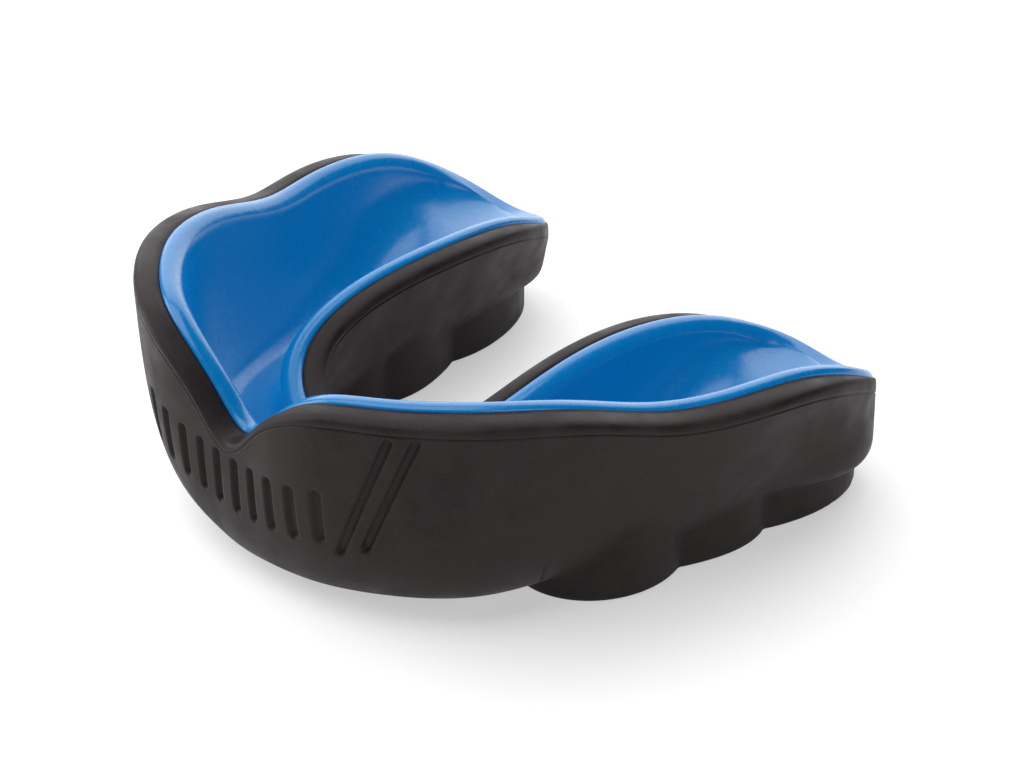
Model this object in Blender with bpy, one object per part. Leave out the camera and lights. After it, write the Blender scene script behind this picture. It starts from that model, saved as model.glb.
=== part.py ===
"""Boil-and-bite mouthguard: a firm rubber frame with a soft gel liner moulded into it.

The guard is a horseshoe. Its lip side faces -Y, its two arms run back towards +Y, and it
stands on the flat bottoms of the chewing lobes at Z = 0. Both pieces are built the same way:
stations run once round the rim of the horseshoe, each station has a spoke from the middle
line of the arm out to the rim, and a piece is a stack of closed rings over those spokes.
Sizes are in millimetres until a mesh is made.
"""
import bmesh
import bpy
import numpy as np

MM = 0.001

# Guide points of the rim, the line where gel and rubber meet, for the +X half: from the notch in
# the middle of the lip side, round the back of the arm, to the middle of the tongue side. The
# rim is the smooth curve that they steer. Each is (x, y, z), the width of the rubber band outside
# the rim, how far the wall below leans in for each millimetre down, and how square the wall's
# section is (2 is an ellipse, 8 nearly a box).
RIM_GUIDE = [
    (0.0, -24.6, 12.6, 2.1, 0.0, 4.4),
    (3.4, -24.5, 16.3, 2.1, 0.0, 4.4),
    (6.2, -24.8, 19.0, 2.1, 0.0, 3.7),
    (10.2, -24.5, 21.3, 2.0, 0.0, 3.1),
    (15.3, -21.7, 21.4, 2.2, 0.02, 3.0),
    (21.0, -16.6, 21.6, 2.5, 0.06, 3.2),
    (24.2, -9.3, 20.6, 2.4, 0.20, 4.0),
    (26.0, -1.6, 17.4, 2.3, 0.27, 6.5),
    (28.4, 4.8, 17.4, 2.3, 0.34, 7.0),
    (29.1, 12.3, 17.0, 2.3, 0.38, 7.0),
    (29.6, 19.0, 14.3, 0.6, 0.0, 12.0),
    (27.5, 25.1, 10.5, 0.2, -0.05, 12.0),
    (22.0, 26.9, 8.1, 0.2, 0.0, 12.0),
    (17.0, 26.6, 9.1, 0.0, 0.05, 9.0),
    (14.0, 24.1, 10.6, 0.3, 0.25, 7.5),
    (12.2, 16.9, 14.3, 1.9, 0.38, 7.0),
    (10.9, 7.5, 15.4, 1.9, 0.38, 7.0),
    (11.3, -1.9, 14.8, 1.9, 0.34, 7.0),
    (10.9, -9.4, 12.4, 2.0, 0.20, 4.0),
    (6.1, -14.0, 10.5, 2.1, 0.03, 3.0),
    (0.0, -15.7, 9.3, 2.1, 0.02, 3.0),
]
ARM_END = 10.0           # where the cheek side turns into the round back end, in guide points
BACK_MIDDLE = 12.0       # middle of the round back end, in guide points
TONGUE_START = 13.5      # where the tongue side starts, in guide points
BACK_REACH = 4.2         # how far the back end's own sizes reach each way, in guide points
BACK_FADE = 2.8
FLUSH_REACH = 2.2        # how far the gel lip lies flush with the trough's floor, each way
FLUSH_FADE = 1.4

# Rubber frame
BAND_ROUNDNESS = 0.6     # section of the band: 1 is an ellipse, less is squarer
PARTING_DROP = 1.1       # parting line of the mould below the rim
PARTING_DROP_AT_BACK = 1.6
UNDERSIDE_FRONT = 1.2    # height of the frame's underside
UNDERSIDE_ARMS = 2.4
UNDERSIDE_BACK = 3.5
FRONT_END = 13.0         # the underside rises from here, along the arm, to its height there
FRONT_RISE = 24.0
BACK_RISE = 13.0         # underside and trough floor rise over this length at the back end
PIVOT_HEIGHT = 4.8       # height from which each section is swept, inside the hull everywhere

# Chewing lobes under each arm: middle (x, y), half length, half width, how square the outline
# is (2 is an ellipse), and how far its length leans from +Y towards the cheek, in degrees
LOBES = [
    (18.8, -1.4, 7.9, 6.8, 2.0, 8.0),
    (19.4, 6.2, 9.2, 6.9, 2.3, 19.0),
    (20.7, 16.1, 10.1, 6.7, 2.1, 14.0),
]
LOBE_EDGE = 0.6          # softness of a lobe's bottom edge
CREASE_SOFTNESS = 0.3
LOBE_BLEND = 0.5         # softness of the line where a lobe leaves the wall

# Tooth trough and gel liner
LIP_WIDTH = 2.0          # gel lip between the rim and the trough
LIP_CREST = 0.65         # how far in from the rim the lip is highest
LIP_HEIGHT = 0.3         # height of that crest above the rim
LIP_HEIGHT_AT_BACK = 0.7
LIP_DROP = 0.55          # the lip's inner edge below the rim
LIP_OUTER_CURVE = 2.2    # how suddenly the lip turns at its outer and at its inner side
LIP_INNER_CURVE = 2.6
GAP = 0.3                # clearance between rubber and gel
GEL_FLOOR = 1.7          # gel under the teeth
TROUGH_FLOOR = 6.0
TROUGH_FLOOR_AT_BACK = 9.6
TROUGH_SQUARENESS = 2.3
GEL_BED_SQUARENESS = 2.2 # section of the bed that the gel lies in

RIBS_PER_ARM = 32
BACK_STATIONS = 11
OUTER_RINGS = 14
BEND_WEIGHT = 3.0        # how strongly the rings gather where a section bends, mm per radian
TROUGH_RINGS = 5
BAND_RINGS = 4
LIP_RINGS = 5
NEARLY_ZERO = 1e-6       # keeps the divisions below from failing
FAR_AWAY = 1000.0


def smooth_min(a, b, softness):
    """The smaller of a and b, rounded where they cross."""
    mix = np.clip(0.5 + 0.5 * (b - a) / softness, 0.0, 1.0)
    return b + (a - b) * mix - softness * mix * (1.0 - mix)


def smooth_max(a, b, softness):
    return -smooth_min(-a, -b, softness)


def ease(x):
    """0 to 1 with level ends."""
    x = np.clip(x, 0.0, 1.0)
    return x * x * (3.0 - 2.0 * x)


def rim_point(t):
    """Rows of the guide table at t guide points from the notch, along a closed B-spline."""
    half = np.array(RIM_GUIDE)
    guide = np.vstack([half, half[1:-1][::-1] * (-1, 1, 1, 1, 1, 1)])
    t = np.atleast_1d(t)
    first = np.floor(t).astype(int)
    f = (t - first)[:, None]
    weights = ((1 - f) ** 3, 3 * f ** 3 - 6 * f ** 2 + 4,
               -3 * f ** 3 + 3 * f ** 2 + 3 * f + 1, f ** 3)
    return sum(w * guide[(first + k - 1) % len(guide)] for k, w in enumerate(weights)) / 6


def spaced(t_from, t_to, count):
    """Values of t that cut the rim between two places into equal lengths in plan."""
    t = np.linspace(t_from, t_to, 1000)
    steps = np.linalg.norm(np.diff(rim_point(t)[:, :2], axis=0), axis=1)
    length = np.concatenate([[0.0], np.cumsum(steps)])
    return np.interp(np.linspace(0.0, length[-1], count), length, t)


def inscribed(t_cheek):
    """Middle of the arm beside a place on the cheek side: the centre of the circle that
    touches the rim there and touches the tongue side. Returns it and the place it touches."""
    t_tongue = np.linspace(TONGUE_START, len(RIM_GUIDE) - 1, 3000)
    tongue = rim_point(t_tongue)[:, :2]
    here = rim_point(t_cheek)[0, :2]
    along = rim_point(t_cheek + 1e-3)[0, :2] - rim_point(t_cheek - 1e-3)[0, :2]
    inward = np.array([-along[1], along[0]]) / np.linalg.norm(along)
    low, high = 1.0, 14.0      # radius of the circle
    for _ in range(40):
        radius = 0.5 * (low + high)
        gap = np.linalg.norm(tongue - (here + inward * radius), axis=1)
        if gap.min() > radius:
            low = radius
        else:
            high = radius
    return here + inward * radius, t_tongue[gap.argmin()]


def make_stations():
    """Stations once round the horseshoe, counter-clockwise seen from above."""
    last = len(RIM_GUIDE) - 1
    cheek = spaced(0.0, ARM_END, RIBS_PER_ARM)
    ribs = [inscribed(t) for t in cheek]
    middle = np.array([m for m, _ in ribs])
    tongue = np.array([t for _, t in ribs])
    middle[0, 0] = 0.0
    tongue[0] = last
    back = spaced(ARM_END, tongue[-1], BACK_STATIONS + 2)[1:-1]
    t = np.concatenate([cheek, back, tongue[::-1]])
    steps = np.linalg.norm(np.diff(middle, axis=0), axis=1)
    along = np.concatenate([[0.0], np.cumsum(steps)])
    rib = np.concatenate([np.arange(RIBS_PER_ARM), np.full(BACK_STATIONS, RIBS_PER_ARM - 1),
                          np.arange(RIBS_PER_ARM)[::-1]])
    rim = rim_point(t)
    s = {"rim": rim[:, :3], "band": rim[:, 3], "draft": rim[:, 4], "square": rim[:, 5]}
    s["t"] = t
    s["middle"] = middle[rib]
    spoke = rim[:, :2] - s["middle"]
    s["reach"] = np.linalg.norm(spoke, axis=1)
    s["out"] = spoke / s["reach"][:, None]
    s["at_back"] = ease((BACK_REACH - np.abs(t - BACK_MIDDLE)) / BACK_FADE)
    s["flush"] = ease((FLUSH_REACH - np.abs(t - BACK_MIDDLE)) / FLUSH_FADE)
    s["parting"] = rim[:, 2] - PARTING_DROP - (PARTING_DROP_AT_BACK - PARTING_DROP) * s["at_back"]
    s["back_rise"] = ease((along[rib] - along[-1] + BACK_RISE) / BACK_RISE)
    front_rise = ease((along[rib] - FRONT_END) / FRONT_RISE)
    s["underside"] = UNDERSIDE_FRONT + (UNDERSIDE_ARMS - UNDERSIDE_FRONT) * front_rise
    s["underside"] += (UNDERSIDE_BACK - UNDERSIDE_ARMS) * s["back_rise"]
    return s


def lobe_reach(s):
    """Distance from the middle line to the side of the lobes, along each spoke."""
    reach = np.zeros(len(s["t"]))
    for x, y, half_length, half_width, squareness, lean in LOBES:
        along = np.array([np.sin(np.radians(lean)), np.cos(np.radians(lean))])
        across = np.array([along[1], -along[0]])
        low, high = np.zeros(len(s["t"])), s["reach"] * 1.2
        for _ in range(30):
            guess = 0.5 * (low + high)
            offset = s["middle"] + s["out"] * guess[:, None] - (x, y)
            size = (np.abs(offset @ along) / half_length) ** squareness
            size += (np.abs(offset @ across) / half_width) ** squareness
            low = np.where(size < 1.0, guess, low)
            high = np.where(size < 1.0, high, guess)
        reach = np.where(low > 0.2, smooth_max(reach, low, CREASE_SOFTNESS), reach)
    return reach


def place_ring(s, radius, height):
    """One closed ring of points; the second half is the mirror image of the first."""
    points = np.column_stack([s["middle"] + s["out"] * radius[:, None], height])
    return np.vstack([points, points[1:-1][::-1] * (-1, 1, 1)])


def outer_rings(s):
    """The frame's outside from the middle of its underside up to the parting line. A section
    is the hull, pushed out from the pivot to the side or the bottom of the lobes where they
    stand further out, and its points lie closest where it bends most."""
    lobe = lobe_reach(s)
    depth = 1.0 - np.linspace(0.0, 1.0, 500) ** 3
    radius, height = np.zeros((2, OUTER_RINGS + 1, len(s["t"])))
    for i, top in enumerate(s["parting"]):
        fall = depth * (top - s["underside"][i])
        r = s["reach"][i] + s["band"][i] - s["draft"][i] * fall
        r *= (1.0 - depth ** s["square"][i]) ** (1.0 / s["square"][i])
        z = top - fall - PIVOT_HEIGHT
        size = np.hypot(r, z)
        side = lobe[i] / np.maximum(r / size, NEARLY_ZERO)
        base = np.where(z < 0.0, PIVOT_HEIGHT / np.maximum(-z / size, NEARLY_ZERO), FAR_AWAY)
        column = smooth_min(side, base, LOBE_EDGE) if lobe[i] > 0.0 else 0.0 * size
        push = smooth_max(size, column, LOBE_BLEND) / size
        r, z = r * push, z * push
        dr, dz = np.diff(r), np.diff(z)
        bend = np.abs(np.diff(np.unwrap(np.arctan2(dz, dr)), prepend=0.0))
        bend[0] = 0.0
        travel = np.concatenate([[0.0], np.cumsum(np.hypot(dr, dz) + BEND_WEIGHT * bend)])
        at = np.linspace(0.0, travel[-1], OUTER_RINGS + 1)
        radius[:, i] = np.interp(at, travel, r)
        height[:, i] = np.interp(at, travel, z) + PIVOT_HEIGHT
    return [place_ring(s, r, z) for r, z in zip(radius, height)]


def trough_rings(s, inset, top, floor_drop, squareness):
    """Rings of a trough from its top edge down to the middle line of its floor."""
    floor = TROUGH_FLOOR + (TROUGH_FLOOR_AT_BACK - TROUGH_FLOOR) * s["back_rise"] - floor_drop
    rings = []
    for angle in np.linspace(0.0, 0.5 * np.pi, TROUGH_RINGS + 1):
        across = max(np.cos(angle), 0.0) ** (2.0 / squareness)
        fall = np.sin(angle) ** (2.0 / squareness)
        rings.append(place_ring(s, (s["reach"] - inset) * across, top + (floor - top) * fall))
    return rings


def band_rings(s):
    """The rounded rubber band from the parting line up and in to the rim."""
    drop = s["rim"][:, 2] - s["parting"]
    rings = []
    for angle in np.linspace(0.0, 0.5 * np.pi, BAND_RINGS + 1)[1:-1]:
        across = s["band"] * np.cos(angle) ** BAND_ROUNDNESS
        up = drop * np.sin(angle) ** BAND_ROUNDNESS
        rings.append(place_ring(s, s["reach"] + across, s["parting"] + up))
    rings.append(place_ring(s, s["reach"], s["rim"][:, 2]))
    return rings


def lip_top(s, inset):
    """Height of the gel lip: up from the rim to a crest, then down to the trough's edge, or
    level from the crest where the lip lies flush with the floor."""
    crest = LIP_HEIGHT + (LIP_HEIGHT_AT_BACK - LIP_HEIGHT) * s["at_back"]
    if inset < LIP_CREST:
        return s["rim"][:, 2] + crest * (1.0 - (1.0 - inset / LIP_CREST) ** LIP_OUTER_CURVE)
    inner = (inset - LIP_CREST) / (LIP_WIDTH - LIP_CREST)
    fall = (crest + LIP_DROP) * (1.0 - s["flush"])
    return s["rim"][:, 2] + crest - fall * inner ** LIP_INNER_CURVE


def lip_rings(s):
    """The gel lip from just inside the rim, over its crest, towards the trough."""
    insets = np.linspace(GAP, LIP_WIDTH, LIP_RINGS + 1)[:-1]
    return [place_ring(s, s["reach"] - inset, lip_top(s, inset)) for inset in insets]


def loft(name, rings, material):
    """A closed solid from rings whose first and last lie on the middle line."""
    mesh = bmesh.new()
    rows = [[mesh.verts.new(point * MM) for point in ring] for ring in rings]
    for low, high in zip(rows, rows[1:]):
        for i in range(len(low)):
            j = (i + 1) % len(low)
            mesh.faces.new((low[i], low[j], high[j], high[i]))
    bmesh.ops.remove_doubles(mesh, verts=mesh.verts[:], dist=0.02 * MM)
    bmesh.ops.triangulate(mesh, faces=mesh.faces[:])
    bmesh.ops.recalc_face_normals(mesh, faces=mesh.faces[:])
    data = bpy.data.meshes.new(name)
    mesh.to_mesh(data)
    mesh.free()
    data.materials.append(material)
    piece = bpy.data.objects.new(name, data)
    bpy.context.scene.collection.objects.link(piece)
    data.shade_smooth()
    data.set_sharp_from_angle(angle=np.radians(40.0))
    return piece


def make_material(name, colour, roughness):
    material = bpy.data.materials.new(name)
    material.use_nodes = True
    shader = material.node_tree.nodes["Principled BSDF"]
    shader.inputs["Base Color"].default_value = (*colour, 1.0)
    shader.inputs["Roughness"].default_value = roughness
    shader.inputs["Metallic"].default_value = 0.0
    return material


def make_frame(s):
    rings = outer_rings(s) + band_rings(s)
    rings += trough_rings(s, 0.0, s["rim"][:, 2], GEL_FLOOR + GAP, GEL_BED_SQUARENESS)[1:]
    return loft("rubber_frame", rings, make_material("black_rubber", (0.02, 0.018, 0.017), 0.55))


def make_liner(s):
    under = trough_rings(s, GAP, s["rim"][:, 2], GEL_FLOOR, GEL_BED_SQUARENESS)[::-1]
    trough = trough_rings(s, LIP_WIDTH, lip_top(s, LIP_WIDTH), 0.0, TROUGH_SQUARENESS)
    rings = under + lip_rings(s) + trough
    return loft("gel_liner", rings, make_material("blue_gel", (0.0, 0.09, 0.38), 0.2))


def main():
    for item in list(bpy.data.objects):
        bpy.data.objects.remove(item)
    stations = make_stations()
    make_frame(stations)
    make_liner(stations)


main()
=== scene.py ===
import bmesh
import bpy
import numpy as np
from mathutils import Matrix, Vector


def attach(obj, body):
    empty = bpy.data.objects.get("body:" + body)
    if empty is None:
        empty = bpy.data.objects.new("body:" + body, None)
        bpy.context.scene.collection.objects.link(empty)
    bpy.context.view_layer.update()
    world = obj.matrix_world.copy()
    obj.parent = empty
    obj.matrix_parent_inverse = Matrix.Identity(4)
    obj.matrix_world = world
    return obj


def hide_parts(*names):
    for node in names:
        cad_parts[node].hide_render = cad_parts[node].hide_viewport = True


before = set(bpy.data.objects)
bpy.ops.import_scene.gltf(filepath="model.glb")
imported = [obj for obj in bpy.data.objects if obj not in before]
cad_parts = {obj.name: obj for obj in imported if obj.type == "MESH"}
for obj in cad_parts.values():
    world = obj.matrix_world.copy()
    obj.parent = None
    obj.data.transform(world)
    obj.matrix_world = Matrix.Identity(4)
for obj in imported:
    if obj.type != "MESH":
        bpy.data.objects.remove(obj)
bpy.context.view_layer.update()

MM = 0.001

# ---------------------------------------------------------------- sizes shared with the CAD
# Guide points of the rim, the line where gel and rubber meet, for the +X half: from the notch in
# the middle of the lip side, round the back of the arm, to the middle of the tongue side. The
# rim is the smooth curve that they steer. Each is (x, y, z), the width of the rubber band outside
# the rim, how far the wall below leans in for each millimetre down, and how square the wall's
# section is (2 is an ellipse, 8 nearly a box).
RIM_GUIDE = [
    (0.0, -24.6, 12.6, 2.1, 0.0, 4.4),
    (3.4, -24.5, 16.3, 2.1, 0.0, 4.4),
    (6.2, -24.8, 19.0, 2.1, 0.0, 3.7),
    (10.2, -24.5, 21.3, 2.0, 0.0, 3.1),
    (15.3, -21.7, 21.4, 2.2, 0.02, 3.0),
    (21.0, -16.6, 21.6, 2.5, 0.06, 3.2),
    (24.2, -9.3, 20.6, 2.4, 0.20, 4.0),
    (26.0, -1.6, 17.4, 2.3, 0.27, 6.5),
    (28.4, 4.8, 17.4, 2.3, 0.34, 7.0),
    (29.1, 12.3, 17.0, 2.3, 0.38, 7.0),
    (29.6, 19.0, 14.3, 0.6, 0.0, 12.0),
    (27.5, 25.1, 10.5, 0.2, -0.05, 12.0),
    (22.0, 26.9, 8.1, 0.2, 0.0, 12.0),
    (17.0, 26.6, 9.1, 0.0, 0.05, 9.0),
    (14.0, 24.1, 10.6, 0.3, 0.25, 7.5),
    (12.2, 16.9, 14.3, 1.9, 0.38, 7.0),
    (10.9, 7.5, 15.4, 1.9, 0.38, 7.0),
    (11.3, -1.9, 14.8, 1.9, 0.34, 7.0),
    (10.9, -9.4, 12.4, 2.0, 0.20, 4.0),
    (6.1, -14.0, 10.5, 2.1, 0.03, 3.0),
    (0.0, -15.7, 9.3, 2.1, 0.02, 3.0),
]
ARM_END = 10.0           # where the cheek side turns into the round back end, in guide points
BACK_MIDDLE = 12.0       # middle of the round back end, in guide points
TONGUE_START = 13.5      # where the tongue side starts, in guide points
BACK_REACH = 4.2         # how far the back end's own sizes reach each way, in guide points
BACK_FADE = 2.8
FLUSH_REACH = 2.2        # how far the gel lip lies flush with the trough's floor, each way
FLUSH_FADE = 1.4

# Rubber frame
BAND_ROUNDNESS = 0.6     # section of the band: 1 is an ellipse, less is squarer
PARTING_DROP = 1.1       # parting line of the mould below the rim
PARTING_DROP_AT_BACK = 1.6
UNDERSIDE_FRONT = 1.2    # height of the frame's underside
UNDERSIDE_ARMS = 2.4
UNDERSIDE_BACK = 3.5
FRONT_END = 13.0         # the underside rises from here, along the arm, to its height there
FRONT_RISE = 24.0
BACK_RISE = 13.0         # underside and trough floor rise over this length at the back end
PIVOT_HEIGHT = 4.8       # height from which each section is swept, inside the hull everywhere

# Chewing lobes under each arm: middle (x, y), half length, half width, how square the outline
# is (2 is an ellipse), and how far its length leans from +Y towards the cheek, in degrees
LOBES = [
    (18.8, -1.4, 7.9, 6.8, 2.0, 8.0),
    (19.4, 6.2, 9.2, 6.9, 2.3, 19.0),
    (20.7, 16.1, 10.1, 6.7, 2.1, 14.0),
]
LOBE_EDGE = 0.6          # softness of a lobe's bottom edge
CREASE_SOFTNESS = 0.15
LOBE_BLEND = 0.3         # softness of the line where a lobe leaves the wall

# Tooth trough and gel liner
LIP_WIDTH = 2.0          # gel lip between the rim and the trough
LIP_CREST = 0.65         # how far in from the rim the lip is highest
LIP_HEIGHT = 0.3         # height of that crest above the rim
LIP_HEIGHT_AT_BACK = 0.7
LIP_DROP = 0.55          # the lip's inner edge below the rim
LIP_OUTER_CURVE = 2.2    # how suddenly the lip turns at its outer and at its inner side
LIP_INNER_CURVE = 2.6
GAP = 0.3                # clearance between rubber and gel
GEL_FLOOR = 1.7          # gel under the teeth
TROUGH_FLOOR = 6.0
TROUGH_FLOOR_AT_BACK = 9.6
TROUGH_SQUARENESS = 2.3
GEL_BED_SQUARENESS = 2.2 # section of the bed that the gel lies in

# ---------------------------------------------------------------- fine mesh
MARKED_END = 5.2         # the lip side, whose stations lie close for the moulded marks
RIBS_LIP_SIDE = 190
RIBS_ARM = 110
BACK_STATIONS = 60
OUTER_RINGS = 130
BEND_WEIGHT = 1.5        # how strongly the rings gather where a section bends, mm per radian
TROUGH_RINGS = 40
BAND_RINGS = 14
BED_RINGS = 8
LIP_RINGS = 16
RIM_SAMPLES = 2000       # points along the rim, and down a section, from which lengths are taken
SECTION_SAMPLES = 2500
SECTION_GATHER = 3       # how strongly the samples of a section gather at its top
TONGUE_SAMPLES = 9000    # places on the tongue side that a circle between the sides may touch
TANGENT_STEP = 1e-3      # half the step over which the rim's direction is taken, in guide points
ARM_RADIUS = (1.0, 14.0) # smallest and largest radius tried for such a circle
CIRCLE_HALVINGS = 34
LOBE_SEARCH = 1.2        # how far along a spoke a lobe's side is looked for, in rim distances
LOBE_HALVINGS = 30
LOBE_LEAST = 0.2         # a lobe nearer than this is not met by the spoke
NEARLY_ZERO = 1e-6       # keeps the divisions below from failing
FAR_AWAY = 1000.0
MERGE_DISTANCE = 0.002   # points this close on a middle line are made one

# ---------------------------------------------------------------- fine detail
SEAM_WIDTH = 0.11        # groove along the mould's parting line, under the band
SEAM_DEPTH = 0.08
SEAM_SECTION = [(-1.0, 0.4), (-0.9, 0.75), (0.0, 1.0)]   # in shares of its depth and width
LIP_GAP = 0.06           # fine line between rubber and gel
LIP_GAP_DEPTH = 0.25

# Moulded marks on the lip side, plain grooves: a row of upright slots across the middle, and two
# slanted ones beside it. Places are (length along the rim from the notch, height).
SLOT_PITCH = 2.3
SLOTS_EACH_SIDE = 5
SLOT_MIDDLE = 9.9
SLOT_RISE = 0.012        # how the row bends up towards its ends, mm per mm squared
SLOT_HALF_HEIGHT = 2.2
SLOT_WIDTH = 0.55        # half width of a groove at the surface
SLANTED = [((11.9, 8.0), (16.2, 19.6)), ((14.0, 8.8), (18.3, 19.8))]
SLANTED_WIDTH = 0.5
MARK_DEPTH = 0.42
MARK_FLANK = 1.6         # how steep the sides of a groove are; 1 is a groove without a floor

# ---------------------------------------------------------------- looks
# Noises are in lumps per metre and levels of detail, roughness runs from a noise's low to its
# high side, and bumps are in millimetres.
NOISE_SPAN = (0.3, 0.7)  # the part of a noise that is used
RUBBER_DARK = (0.0145, 0.0112, 0.0116, 1.0)
RUBBER_PALE = (0.0250, 0.0202, 0.0206, 1.0)
RUBBER_PATCHES = (320.0, 3.0)
RUBBER_SPECKLE = (7000.0, 1.0)
RUBBER_GRAIN = (5200.0, 2.0)
SPECKLE_SHARE = 0.6      # the speckle's part in the colour; the patches have the rest
RUBBER_ROUGHNESS = (0.38, 0.62)
RUBBER_BUMP = 0.04
RUBBER_BUMP_STRENGTH = 0.25
RUBBER_GLOSS = 0.12
RUBBER_GLOSS_TINT = (1.0, 0.9, 0.9, 1.0)
GEL_DARK = (0.001, 0.105, 0.245, 1.0)
GEL_PALE = (0.001, 0.113, 0.260, 1.0)
GEL_SWIRL = (90.0, 2.0)
GEL_PEEL = (1500.0, 3.0)
GEL_ROUGHNESS = (0.18, 0.3)
GEL_BUMP = 0.08
GEL_BUMP_STRENGTH = 0.2
GEL_IOR = 1.46
GEL_PAINTED_GLOW = (0.0, 0.3, 1.0, 1.0)   # painted glow: a steady emission that stands in for light scattered inside the gel
GEL_PAINTED_GLOW_STRENGTH = 0.2

# ---------------------------------------------------------------- studio
# The floor and the softboxes are in metres, and angles are in degrees.
FLOOR_HALF = 1.6
FLOOR_DROP = 0.00005     # keeps the floor just below the lobes
FLOOR_COLOUR = (0.58, 0.58, 0.58, 1.0)
FLOOR_ROUGHNESS = 0.8
FLOOR_GLOW = (1.0, 1.0, 1.0, 1.0)
FLOOR_GLOW_STRENGTH = 0.45

# Softboxes: azimuth, elevation, distance, width, height and brightness, where 1 renders as white
SOFTBOXES = {
    "back_box": (-138.0, 28.0, 0.9, 1.45, 0.95, 2.5),
    "top_box": (-40.0, 74.0, 0.9, 0.9, 0.9, 3.0),
    "left_box": (-56.0, 20.0, 0.9, 0.7, 0.7, 4.4),
    "right_box": (80.0, 22.0, 0.9, 0.5, 0.7, 2.2),
}
ROOM = 0.8               # brightness of the room round the softboxes, and of its unlit side
ROOM_DARK = 0.03
DARK_SIDE = (150.0, 42.0) # azimuth and elevation of the unlit side's middle
DARKENING = (0.5, 0.8)   # cosines of the angles from there where it starts and is complete

# Camera: the side it stands on (azimuth, elevation), and millimetres, but its clip is in metres
CAMERA_SIDE = (46.8, 31.0)
CAMERA_DISTANCE = 215.54
CAMERA_TARGET = (3.162, 2.921, 8.468)
CAMERA_LENS = 84.375
CAMERA_SENSOR = 36.0
CAMERA_CLIP = 0.01


def smooth_min(a, b, softness):
    """The smaller of a and b, rounded where they cross."""
    mix = np.clip(0.5 + 0.5 * (b - a) / softness, 0.0, 1.0)
    return b + (a - b) * mix - softness * mix * (1.0 - mix)


def smooth_max(a, b, softness):
    return -smooth_min(-a, -b, softness)


def ease(x):
    """0 to 1 with level ends."""
    x = np.clip(x, 0.0, 1.0)
    return x * x * (3.0 - 2.0 * x)


# ---------------------------------------------------------------- stations round the horseshoe
def rim_point(t):
    """Rows of the guide table at t guide points from the notch, along a closed B-spline."""
    half = np.array(RIM_GUIDE)
    guide = np.vstack([half, half[1:-1][::-1] * (-1, 1, 1, 1, 1, 1)])
    t = np.atleast_1d(t)
    first = np.floor(t).astype(int)
    f = (t - first)[:, None]
    weights = ((1 - f) ** 3, 3 * f ** 3 - 6 * f ** 2 + 4,
               -3 * f ** 3 + 3 * f ** 2 + 3 * f + 1, f ** 3)
    return sum(w * guide[(first + k - 1) % len(guide)] for k, w in enumerate(weights)) / 6


def plan_length(points):
    """Length along a row of points, measured in plan."""
    steps = np.linalg.norm(np.diff(points[:, :2], axis=0), axis=1)
    return np.concatenate([[0.0], np.cumsum(steps)])


def spaced(t_from, t_to, count):
    """Values of t that cut the rim between two places into equal lengths in plan."""
    t = np.linspace(t_from, t_to, RIM_SAMPLES)
    length = plan_length(rim_point(t))
    return np.interp(np.linspace(0.0, length[-1], count), length, t)


def inscribed(t_cheek):
    """Middle of the arm beside a place on the cheek side: the centre of the circle that
    touches the rim there and touches the tongue side. Returns it and the place it touches."""
    t_tongue = np.linspace(TONGUE_START, len(RIM_GUIDE) - 1, TONGUE_SAMPLES)
    tongue = rim_point(t_tongue)[:, :2]
    here = rim_point(t_cheek)[0, :2]
    along = rim_point(t_cheek + TANGENT_STEP)[0, :2] - rim_point(t_cheek - TANGENT_STEP)[0, :2]
    inward = np.array([-along[1], along[0]]) / np.linalg.norm(along)
    low, high = ARM_RADIUS
    for _ in range(CIRCLE_HALVINGS):
        radius = 0.5 * (low + high)
        gap = np.linalg.norm(tongue - (here + inward * radius), axis=1)
        if gap.min() > radius:
            low = radius
        else:
            high = radius
    return here + inward * radius, t_tongue[gap.argmin()]


def make_stations():
    """Stations once round the horseshoe, counter-clockwise seen from above."""
    last = len(RIM_GUIDE) - 1
    cheek = np.concatenate([spaced(0.0, MARKED_END, RIBS_LIP_SIDE + 1)[:-1],
                            spaced(MARKED_END, ARM_END, RIBS_ARM)])
    ribs = [inscribed(t) for t in cheek]
    middle = np.array([m for m, _ in ribs])
    tongue = np.array([t for _, t in ribs])
    middle[0, 0] = 0.0
    tongue[0] = last
    back = spaced(ARM_END, tongue[-1], BACK_STATIONS + 2)[1:-1]
    t = np.concatenate([cheek, back, tongue[::-1]])
    along = plan_length(middle)
    count = len(cheek)
    rib = np.concatenate([np.arange(count), np.full(BACK_STATIONS, count - 1),
                          np.arange(count)[::-1]])
    rim = rim_point(t)
    s = {"rim": rim[:, :3], "band": rim[:, 3], "draft": rim[:, 4], "square": rim[:, 5]}
    s["t"] = t
    s["rim_length"] = plan_length(rim)
    s["middle"] = middle[rib]
    spoke = rim[:, :2] - s["middle"]
    s["reach"] = np.linalg.norm(spoke, axis=1)
    s["out"] = spoke / s["reach"][:, None]
    s["at_back"] = ease((BACK_REACH - np.abs(t - BACK_MIDDLE)) / BACK_FADE)
    s["flush"] = ease((FLUSH_REACH - np.abs(t - BACK_MIDDLE)) / FLUSH_FADE)
    s["parting"] = rim[:, 2] - PARTING_DROP - (PARTING_DROP_AT_BACK - PARTING_DROP) * s["at_back"]
    s["back_rise"] = ease((along[rib] - along[-1] + BACK_RISE) / BACK_RISE)
    front_rise = ease((along[rib] - FRONT_END) / FRONT_RISE)
    s["underside"] = UNDERSIDE_FRONT + (UNDERSIDE_ARMS - UNDERSIDE_FRONT) * front_rise
    s["underside"] += (UNDERSIDE_BACK - UNDERSIDE_ARMS) * s["back_rise"]
    return s


def place_ring(s, radius, height):
    """One closed ring of points; the second half is the mirror image of the first."""
    points = np.column_stack([s["middle"] + s["out"] * radius[:, None], height])
    return np.vstack([points, points[1:-1][::-1] * (-1, 1, 1)])


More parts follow.
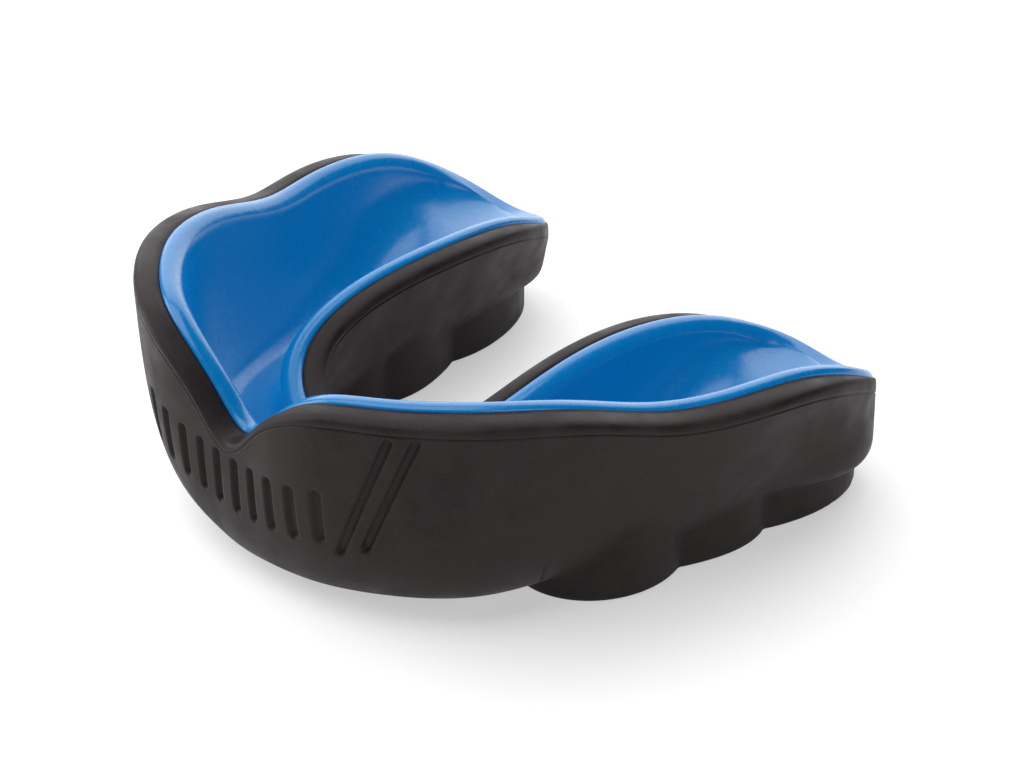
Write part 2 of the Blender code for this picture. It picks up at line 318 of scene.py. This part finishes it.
# ---------------------------------------------------------------- rubber frame
def lobe_reach(s):
    """Distance from the middle line to the side of the lobes, along each spoke."""
    reach = np.zeros(len(s["t"]))
    for x, y, half_length, half_width, squareness, lean in LOBES:
        along = np.array([np.sin(np.radians(lean)), np.cos(np.radians(lean))])
        across = np.array([along[1], -along[0]])
        low, high = np.zeros(len(s["t"])), s["reach"] * LOBE_SEARCH
        for _ in range(LOBE_HALVINGS):
            guess = 0.5 * (low + high)
            offset = s["middle"] + s["out"] * guess[:, None] - (x, y)
            size = (np.abs(offset @ along) / half_length) ** squareness
            size += (np.abs(offset @ across) / half_width) ** squareness
            low = np.where(size < 1.0, guess, low)
            high = np.where(size < 1.0, high, guess)
        reach = np.where(low > LOBE_LEAST, smooth_max(reach, low, CREASE_SOFTNESS), reach)
    return reach


def groove(u, v, start, end, width):
    """How deep a plain round-ended groove is at (u, v), from 0 outside to 1 in its middle."""
    start, end = np.array(start), np.array(end)
    run = end - start
    share = ((u - start[0]) * run[0] + (v - start[1]) * run[1]) / (run @ run)
    share = np.clip(share, 0.0, 1.0)
    away = np.hypot(u - start[0] - share * run[0], v - start[1] - share * run[1])
    return ease(MARK_FLANK * (1.0 - away / width))


def mark_depth(s, height):
    """Depth of the moulded marks at each station and ring, in mm."""
    u = s["rim_length"][None, :]
    depth = np.zeros_like(height)
    for i in range(SLOTS_EACH_SIDE):
        x = (i + 0.5) * SLOT_PITCH
        middle = SLOT_MIDDLE + SLOT_RISE * x * x
        ends = (x, middle - SLOT_HALF_HEIGHT), (x, middle + SLOT_HALF_HEIGHT)
        depth = np.maximum(depth, groove(u, height, *ends, SLOT_WIDTH))
    for ends in SLANTED:
        depth = np.maximum(depth, groove(u, height, *ends, SLANTED_WIDTH))
    return MARK_DEPTH * depth * (s["t"] < MARKED_END)


def outer_sections(s):
    """Radius and height of the frame's outside at each ring and station, from the middle of the
    underside up to the parting line: the hull, pushed out to the side or the bottom of the
    lobes where they stand further out. Points lie closest where a section bends most."""
    lobe = lobe_reach(s)
    depth = 1.0 - np.linspace(0.0, 1.0, SECTION_SAMPLES) ** SECTION_GATHER
    radius, height = np.zeros((2, OUTER_RINGS + 1, len(s["t"])))
    for i, top in enumerate(s["parting"]):
        fall = depth * (top - s["underside"][i])
        r = s["reach"][i] + s["band"][i] - s["draft"][i] * fall
        r *= (1.0 - depth ** s["square"][i]) ** (1.0 / s["square"][i])
        z = top - fall - PIVOT_HEIGHT
        size = np.hypot(r, z)
        side = lobe[i] / np.maximum(r / size, NEARLY_ZERO)
        base = np.where(z < 0.0, PIVOT_HEIGHT / np.maximum(-z / size, NEARLY_ZERO), FAR_AWAY)
        column = smooth_min(side, base, LOBE_EDGE) if lobe[i] > 0.0 else 0.0 * size
        push = smooth_max(size, column, LOBE_BLEND) / size
        r, z = r * push, z * push
        dr, dz = np.diff(r), np.diff(z)
        bend = np.abs(np.diff(np.unwrap(np.arctan2(dz, dr)), prepend=0.0))
        bend[0] = 0.0
        travel = np.concatenate([[0.0], np.cumsum(np.hypot(dr, dz) + BEND_WEIGHT * bend)])
        at = np.linspace(0.0, travel[-1], OUTER_RINGS + 1)
        radius[:, i] = np.interp(at, travel, r)
        height[:, i] = np.interp(at, travel, z) + PIVOT_HEIGHT
    return radius, height


def outer_rings(s):
    radius, height = outer_sections(s)
    radius = radius - mark_depth(s, height)
    return [place_ring(s, r, z) for r, z in zip(radius, height)]


def band_rings(s):
    """The seam groove, then the rounded rubber band up and in to the rim."""
    rings = []
    for across, up in SEAM_SECTION:
        rings.append(place_ring(s, s["reach"] + s["band"] + SEAM_DEPTH * across,
                                s["parting"] + SEAM_WIDTH * up))
    foot = s["parting"] + SEAM_WIDTH
    rise = s["rim"][:, 2] - foot
    for angle in np.linspace(0.0, 0.5 * np.pi, BAND_RINGS + 1)[1:]:
        across = s["band"] * max(np.cos(angle), 0.0) ** BAND_ROUNDNESS
        up = rise * np.sin(angle) ** BAND_ROUNDNESS
        rings.append(place_ring(s, s["reach"] + across, foot + up))
    rings.append(place_ring(s, s["reach"] - 0.5 * LIP_GAP, s["rim"][:, 2] - 0.5 * LIP_GAP_DEPTH))
    return rings


def trough_rings(s, inset, top, floor_drop, squareness, count):
    """Rings of a trough from its top edge down to the middle line of its floor."""
    floor = TROUGH_FLOOR + (TROUGH_FLOOR_AT_BACK - TROUGH_FLOOR) * s["back_rise"] - floor_drop
    rings = []
    for angle in np.linspace(0.0, 0.5 * np.pi, count + 1):
        across = max(np.cos(angle), 0.0) ** (2.0 / squareness)
        fall = np.sin(angle) ** (2.0 / squareness)
        rings.append(place_ring(s, (s["reach"] - inset) * across, top + (floor - top) * fall))
    return rings


# ---------------------------------------------------------------- gel liner
def lip_top(s, inset):
    """Height of the gel lip: up from the rim to a crest, then down to the trough's edge, or
    level from the crest where the lip lies flush with the floor."""
    crest = LIP_HEIGHT + (LIP_HEIGHT_AT_BACK - LIP_HEIGHT) * s["at_back"]
    if inset < LIP_CREST:
        return s["rim"][:, 2] + crest * (1.0 - (1.0 - inset / LIP_CREST) ** LIP_OUTER_CURVE)
    inner = (inset - LIP_CREST) / (LIP_WIDTH - LIP_CREST)
    fall = (crest + LIP_DROP) * (1.0 - s["flush"])
    return s["rim"][:, 2] + crest - fall * inner ** LIP_INNER_CURVE


def lip_rings(s):
    """The gel lip from the rim, over its crest, to the top of the trough."""
    rings = [place_ring(s, s["reach"] - LIP_GAP, s["rim"][:, 2] - LIP_GAP_DEPTH)]
    for share in np.linspace(0.0, 1.0, LIP_RINGS + 1)[:-1]:
        inset = LIP_GAP + (LIP_WIDTH - LIP_GAP) * share
        rings.append(place_ring(s, s["reach"] - inset, lip_top(s, inset)))
    return rings


# ---------------------------------------------------------------- meshes
def loft(name, rings, material):
    """A closed mesh from rings whose first and last lie on the middle line."""
    rings = np.array(rings)
    levels, around = rings.shape[:2]
    index = np.arange(levels * around).reshape(levels, around)
    right = np.roll(index, -1, axis=1)
    quads = np.stack([index[:-1], right[:-1], right[1:], index[1:]], axis=-1).reshape(-1, 4)
    data = bpy.data.meshes.new(name)
    data.from_pydata(rings.reshape(-1, 3) * MM, [], quads.tolist())
    mesh = bmesh.new()
    mesh.from_mesh(data)
    mesh.verts.ensure_lookup_table()
    ends = [mesh.verts[i] for i in np.concatenate([index[0], index[-1]])]
    bmesh.ops.remove_doubles(mesh, verts=ends, dist=MERGE_DISTANCE * MM)
    bmesh.ops.recalc_face_normals(mesh, faces=mesh.faces[:])
    mesh.to_mesh(data)
    mesh.free()
    data.materials.append(material)
    data.shade_smooth()
    piece = bpy.data.objects.new(name, data)
    bpy.context.scene.collection.objects.link(piece)
    return piece


# ---------------------------------------------------------------- materials
def new_material(name):
    """A new material, with its nodes, its links and its shader."""
    material = bpy.data.materials.new(name)
    material.use_nodes = True
    nodes = material.node_tree.nodes
    return material, nodes, material.node_tree.links, nodes["Principled BSDF"]


def noise(nodes, links, coords, size):
    """A noise over the object's own coordinates, of so many lumps per metre and levels."""
    node = nodes.new("ShaderNodeTexNoise")
    node.inputs["Scale"].default_value, node.inputs["Detail"].default_value = size
    links.new(coords.outputs["Object"], node.inputs["Vector"])
    return node.outputs["Fac"]


def remap(nodes, links, source, given, wanted):
    """The source with its given span stretched to the wanted one, and level outside it."""
    node = nodes.new("ShaderNodeMapRange")
    for key, value in zip(("From Min", "From Max", "To Min", "To Max"), (*given, *wanted)):
        node.inputs[key].default_value = value
    links.new(source, node.inputs["Value"])
    return node.outputs["Result"]


def add_colour(nodes, links, source, colours, shader):
    """Colour the shader from the first colour to the second as the source rises."""
    ramp = nodes.new("ShaderNodeValToRGB")
    for element, position, colour in zip(ramp.color_ramp.elements, NOISE_SPAN, colours):
        element.position = position
        element.color = colour
    links.new(source, ramp.inputs["Fac"])
    links.new(ramp.outputs["Color"], shader.inputs["Base Color"])


def add_bump(nodes, links, source, strength, height, shader):
    bump = nodes.new("ShaderNodeBump")
    bump.inputs["Strength"].default_value = strength
    bump.inputs["Distance"].default_value = height * MM
    links.new(source, bump.inputs["Height"])
    links.new(bump.outputs["Normal"], shader.inputs["Normal"])


def rubber_material():
    material, nodes, links, shader = new_material("satin_black_rubber")
    coords = nodes.new("ShaderNodeTexCoord")
    patches = noise(nodes, links, coords, RUBBER_PATCHES)
    grain = noise(nodes, links, coords, RUBBER_GRAIN)
    mixed = nodes.new("ShaderNodeMath")
    mixed.operation = "MULTIPLY_ADD"
    mixed.inputs[1].default_value = SPECKLE_SHARE
    links.new(noise(nodes, links, coords, RUBBER_SPECKLE), mixed.inputs[0])
    rest = remap(nodes, links, patches, NOISE_SPAN, (0.0, 1.0 - SPECKLE_SHARE))
    links.new(rest, mixed.inputs[2])
    add_colour(nodes, links, mixed.outputs["Value"], (RUBBER_DARK, RUBBER_PALE), shader)
    links.new(remap(nodes, links, patches, NOISE_SPAN, RUBBER_ROUGHNESS), shader.inputs["Roughness"])
    add_bump(nodes, links, grain, RUBBER_BUMP_STRENGTH, RUBBER_BUMP, shader)
    shader.inputs["Specular IOR Level"].default_value = RUBBER_GLOSS
    shader.inputs["Specular Tint"].default_value = RUBBER_GLOSS_TINT
    return material


def gel_material():
    material, nodes, links, shader = new_material("glossy_blue_gel")
    coords = nodes.new("ShaderNodeTexCoord")
    swirl = noise(nodes, links, coords, GEL_SWIRL)
    peel = noise(nodes, links, coords, GEL_PEEL)
    add_colour(nodes, links, swirl, (GEL_DARK, GEL_PALE), shader)
    links.new(remap(nodes, links, peel, NOISE_SPAN, GEL_ROUGHNESS), shader.inputs["Roughness"])
    add_bump(nodes, links, peel, GEL_BUMP_STRENGTH, GEL_BUMP, shader)
    shader.inputs["IOR"].default_value = GEL_IOR
    # painted glow: the gel emits a steady blue light of its own, standing in for light scattered
    # inside it
    shader.inputs["Emission Color"].default_value = GEL_PAINTED_GLOW
    shader.inputs["Emission Strength"].default_value = GEL_PAINTED_GLOW_STRENGTH
    return material


# ---------------------------------------------------------------- studio
def make_floor():
    data = bpy.data.meshes.new("floor")
    sides = ((-1, -1), (1, -1), (1, 1), (-1, 1))
    data.from_pydata([(x * FLOOR_HALF, y * FLOOR_HALF, 0.0) for x, y in sides], [], [(0, 1, 2, 3)])
    material, _, _, shader = new_material("pale_floor")
    shader.inputs["Base Color"].default_value = FLOOR_COLOUR
    shader.inputs["Roughness"].default_value = FLOOR_ROUGHNESS
    shader.inputs["Emission Color"].default_value = FLOOR_GLOW
    shader.inputs["Emission Strength"].default_value = FLOOR_GLOW_STRENGTH
    data.materials.append(material)
    floor = bpy.data.objects.new("floor", data)
    bpy.context.scene.collection.objects.link(floor)
    floor.location.z = -FLOOR_DROP


def direction(azimuth, elevation):
    """Unit vector; azimuth runs from the lip side (-Y) towards +X, both angles in degrees."""
    azimuth, elevation = np.radians((azimuth, elevation))
    return Vector((np.sin(azimuth) * np.cos(elevation), -np.cos(azimuth) * np.cos(elevation),
                   np.sin(elevation)))


def make_lights():
    """The softboxes, each turned to the object, and a room that is unlit on one side."""
    for name, (azimuth, elevation, distance, width, height, brightness) in SOFTBOXES.items():
        data = bpy.data.lights.new(name, "AREA")
        data.shape = "RECTANGLE"
        data.size = width
        data.size_y = height
        data.energy = brightness * np.pi * width * height
        light = bpy.data.objects.new(name, data)
        bpy.context.scene.collection.objects.link(light)
        away = direction(azimuth, elevation)
        light.location = away * distance
        light.rotation_euler = away.to_track_quat("Z", "Y").to_euler()
    world = bpy.data.worlds.new("studio")
    bpy.context.scene.world = world
    world.use_nodes = True
    nodes, links = world.node_tree.nodes, world.node_tree.links
    coords = nodes.new("ShaderNodeTexCoord")
    facing = nodes.new("ShaderNodeVectorMath")
    facing.operation = "DOT_PRODUCT"
    facing.inputs[1].default_value = direction(*DARK_SIDE)
    links.new(coords.outputs["Generated"], facing.inputs[0])
    links.new(remap(nodes, links, facing.outputs["Value"], DARKENING, (ROOM, ROOM_DARK)),
              nodes["Background"].inputs["Strength"])


def make_camera():
    back = direction(*CAMERA_SIDE)
    data = bpy.data.cameras.new("camera")
    data.sensor_width = CAMERA_SENSOR
    data.lens = CAMERA_LENS
    data.clip_start = CAMERA_CLIP
    camera = bpy.data.objects.new("camera", data)
    bpy.context.scene.collection.objects.link(camera)
    camera.location = Vector(CAMERA_TARGET) * MM + back * CAMERA_DISTANCE * MM
    camera.rotation_euler = back.to_track_quat("Z", "Y").to_euler()
    bpy.context.scene.camera = camera


# ---------------------------------------------------------------- build
def main():
    s = make_stations()
    rim_height = s["rim"][:, 2]
    bed = trough_rings(s, LIP_GAP, rim_height, GEL_FLOOR + GAP, GEL_BED_SQUARENESS, BED_RINGS)[1:]
    frame_piece = loft("frame_visual", outer_rings(s) + band_rings(s) + bed, rubber_material())
    under = trough_rings(s, GAP, rim_height - GAP, GEL_FLOOR, GEL_BED_SQUARENESS, BED_RINGS)[::-1]
    trough = trough_rings(s, LIP_WIDTH, lip_top(s, LIP_WIDTH), 0.0, TROUGH_SQUARENESS, TROUGH_RINGS)
    liner_piece = loft("liner_visual", under + lip_rings(s) + trough, gel_material())
    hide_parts("rubber_frame")
    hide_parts("gel_liner")
    for piece in (frame_piece, liner_piece):
        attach(piece, "root")
    make_floor()
    make_lights()
    make_camera()
    bpy.context.scene.view_settings.view_transform = "Standard"


main()
